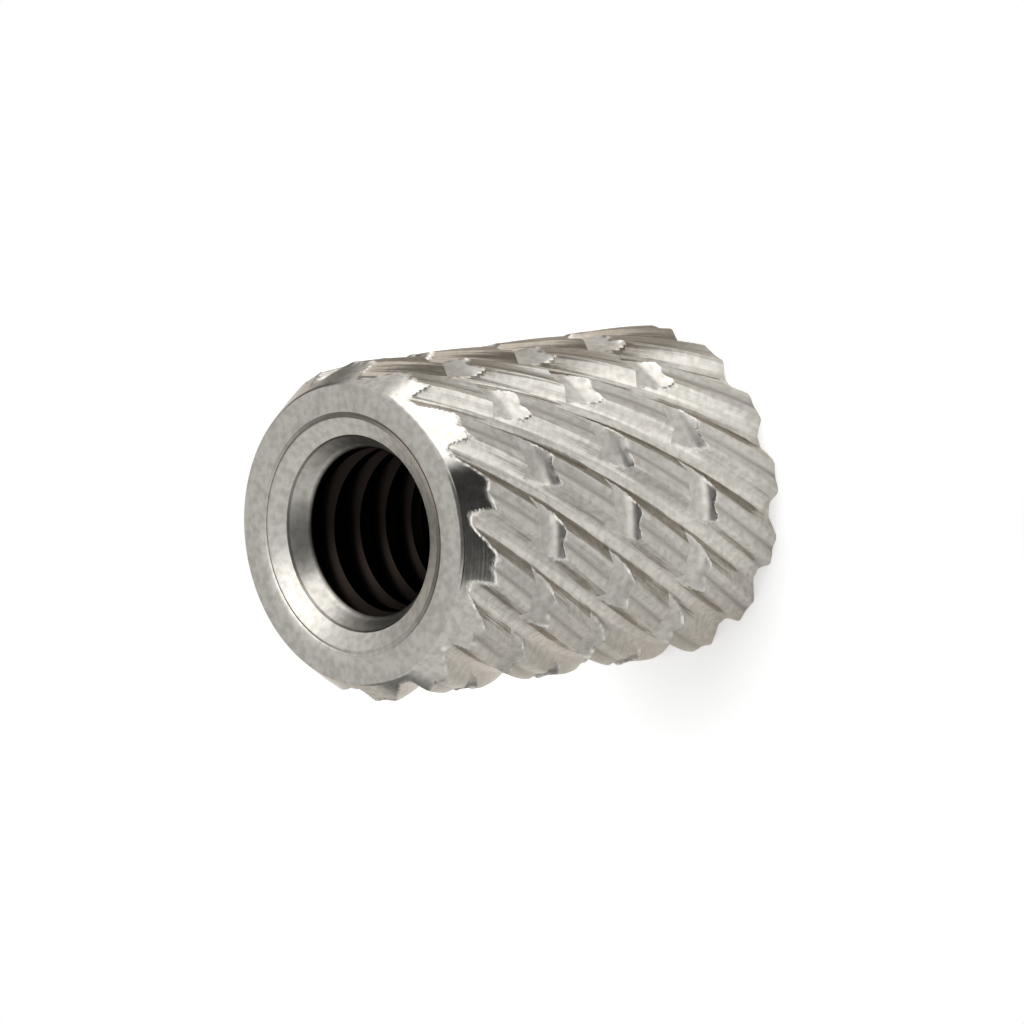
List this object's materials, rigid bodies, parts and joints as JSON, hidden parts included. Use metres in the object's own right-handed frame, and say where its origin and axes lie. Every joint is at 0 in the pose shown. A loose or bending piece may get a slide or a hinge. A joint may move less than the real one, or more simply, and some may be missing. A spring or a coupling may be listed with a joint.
{
  "type": "threaded insert",
  "caption": "Knurled press-in threaded insert: a grooved metal sleeve with helical teeth, a chamfered lead-in end and a tapped through bore.",
  "frame": {"origin": "middle of the far end face, on the surface that it stands on", "axes": "+Z along the bore, from the far end towards the chamfered lead-in end"},
  "size_m": [0.0072, 0.0072, 0.0095],
  "materials": {
    "steel": "bare turned and rolled stainless steel, satin on the faces and bright on the cut edges"
  },
  "bodies": {
    "root": {"insert_body": "steel"}
  },
  "joints": []
}
